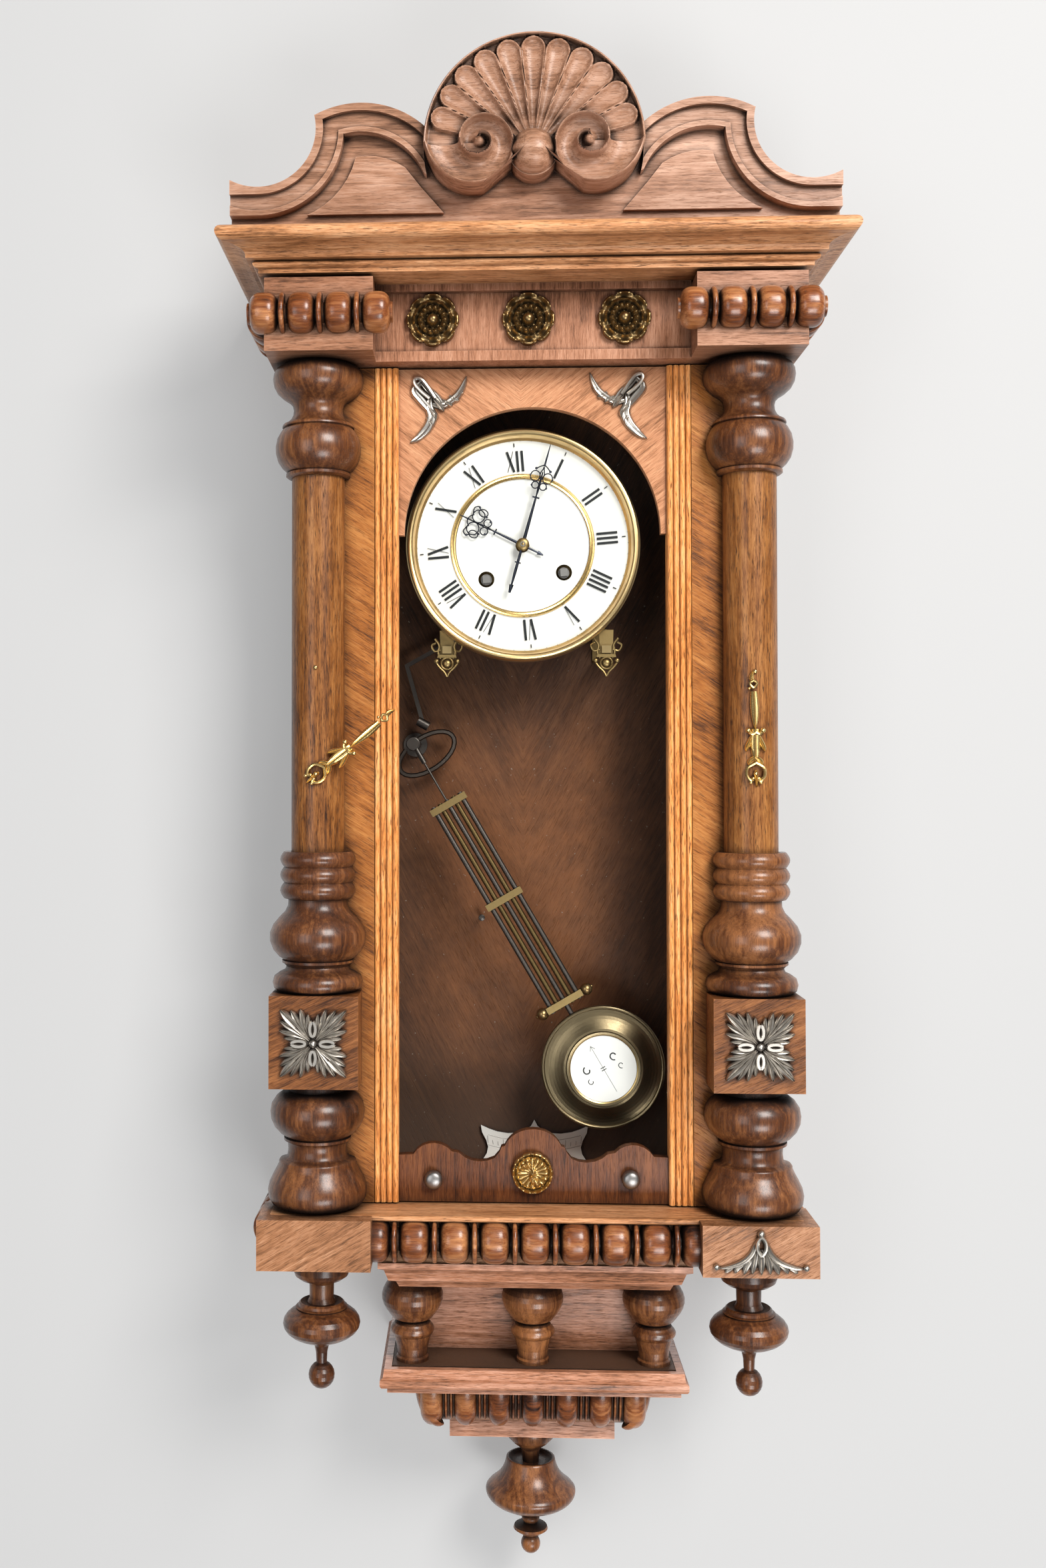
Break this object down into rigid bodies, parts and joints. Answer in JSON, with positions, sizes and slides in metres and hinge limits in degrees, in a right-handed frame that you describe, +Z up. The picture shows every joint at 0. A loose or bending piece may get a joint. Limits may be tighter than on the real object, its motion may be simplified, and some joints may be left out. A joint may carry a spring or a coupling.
{
  "type": "wall regulator clock",
  "caption": "Spring-driven wall regulator clock: glazed oak and walnut case with turned half columns and shell crest, roman dial, gong strike and gridiron pendulum.",
  "frame": {"origin": "centre of the hanging plate's hole in the wall plane", "axes": "+X to the viewer's right, +Y into the wall, +Z up"},
  "size_m": [0.4258, 0.1909, 1.0765],
  "materials": {
    "walnut": "satin, dark glaze in the recesses",
    "veneer": "satin",
    "light_oak": "satin, dark open grain",
    "brass": "aged",
    "silver": "antique silver",
    "bronze": "dark patina",
    "steel": "dark",
    "blued_steel": "blued",
    "enamel": "white, fine crazing",
    "glass": "clear, wavy"
  },
  "bodies": {
    "case": {"backboard": "walnut", "side_walls": "walnut", "side_glass": "glass", "case_top": "walnut", "frieze_board": "veneer", "frieze_blocks": "veneer", "frieze_beads": "walnut", "frieze_rosettes": "bronze", "cornice": "walnut", "pediment_board": "walnut", "pediment_mouldings": "walnut", "shell_crest": "walnut", "base_body": "walnut", "base_blocks": "veneer", "base_beads": "walnut", "base_leaf_mount": "silver", "pendants": "walnut", "bracket_board": "walnut", "bracket_balusters": "walnut", "bracket_shelf": "walnut", "bracket_cove": "walnut", "bottom_finial": "walnut", "beat_scale": "enamel", "hanger_plate": "steel", "gong_coil": "steel", "gong_post": "steel", "hinge_case_half": "brass", "movement_brackets": "brass", "front_plate": "brass", "back_plate": "brass", "spring_barrels": "brass", "dial": "enamel", "bezel": "brass"},
    "door": {"door_frame": "veneer", "light_strips": "light_oak", "arch_board": "veneer", "apron_board": "veneer", "door_glass": "glass", "column_capitals": "walnut", "column_shafts": "veneer", "column_bases": "walnut", "acanthus_mounts": "silver", "corner_mounts": "silver", "right_column_mount": "brass", "brass_trim": "brass", "hinge_door_half": "brass"},
    "loose_mount": {"left_column_mount": "brass"},
    "minute_hand": {"minute_hand": "blued_steel", "centre_arbor": "steel"},
    "minute_wheel": {"minute_wheel": "brass"},
    "hour_hand": {"hour_hand": "blued_steel", "hour_wheel": "brass"},
    "time_arbor": {"time_arbor": "steel"},
    "strike_arbor": {"strike_arbor": "steel"},
    "pendulum": {"gridiron_rods": "steel", "gridiron_bars": "brass", "pendulum_bob": "brass", "bob_disc": "enamel"},
    "leader": {"pendulum_leader": "steel"},
    "hammer": {"strike_hammer": "steel"}
  },
  "joints": [
    {"name": "door_hinge", "type": "hinge", "parent": "case", "child": "door", "pos_m": [0.1696, -0.099, -0.328], "axis": [0, 0, 1], "range_deg": [0, 110]},
    {"name": "loose_mount_swivel", "type": "hinge", "parent": "door", "child": "loose_mount", "pos_m": [-0.15, -0.1429, -0.322], "axis": [0, 1, 0], "range_deg": [-52, 38]},
    {"name": "minute_hand_turn", "type": "hinge", "parent": "case", "child": "minute_hand", "pos_m": [-0.006, -0.09, -0.157], "axis": [0, 1, 0], "continuous": true},
    {"name": "minute_wheel_turn", "type": "hinge", "parent": "case", "child": "minute_wheel", "pos_m": [0.00795, -0.075, -0.15583], "axis": [0, 1, 0], "continuous": true},
    {"name": "hour_hand_turn", "type": "hinge", "parent": "case", "child": "hour_hand", "pos_m": [-0.006, -0.085, -0.157], "axis": [0, 1, 0], "continuous": true},
    {"name": "time_winding", "type": "hinge", "parent": "case", "child": "time_arbor", "pos_m": [0.02374, -0.086, -0.17658], "axis": [0, 1, 0], "range_deg": [0, 1800]},
    {"name": "strike_winding", "type": "hinge", "parent": "case", "child": "strike_arbor", "pos_m": [-0.03206, -0.086, -0.18127], "axis": [0, 1, 0], "range_deg": [0, 1800]},
    {"name": "pendulum_swing", "type": "hinge", "parent": "case", "child": "pendulum", "pos_m": [-0.086, -0.06, -0.2995], "axis": [0, 1, 0], "range_deg": [-12, 33]},
    {"name": "leader_swing", "type": "hinge", "parent": "case", "child": "leader", "pos_m": [-0.00851, -0.0258, -0.1271], "axis": [0, 1, 0], "range_deg": [-3, 3]},
    {"name": "hammer_lift", "type": "hinge", "parent": "case", "child": "hammer", "pos_m": [-0.03769, -0.032, -0.20984], "axis": [0, 1, 0], "range_deg": [0, 20]}
  ],
  "couplings": [
    {"joint": "minute_wheel_turn", "follows": "minute_hand_turn", "ratio": -0.33333},
    {"joint": "hour_hand_turn", "follows": "minute_hand_turn", "ratio": 0.083333}
  ]
}
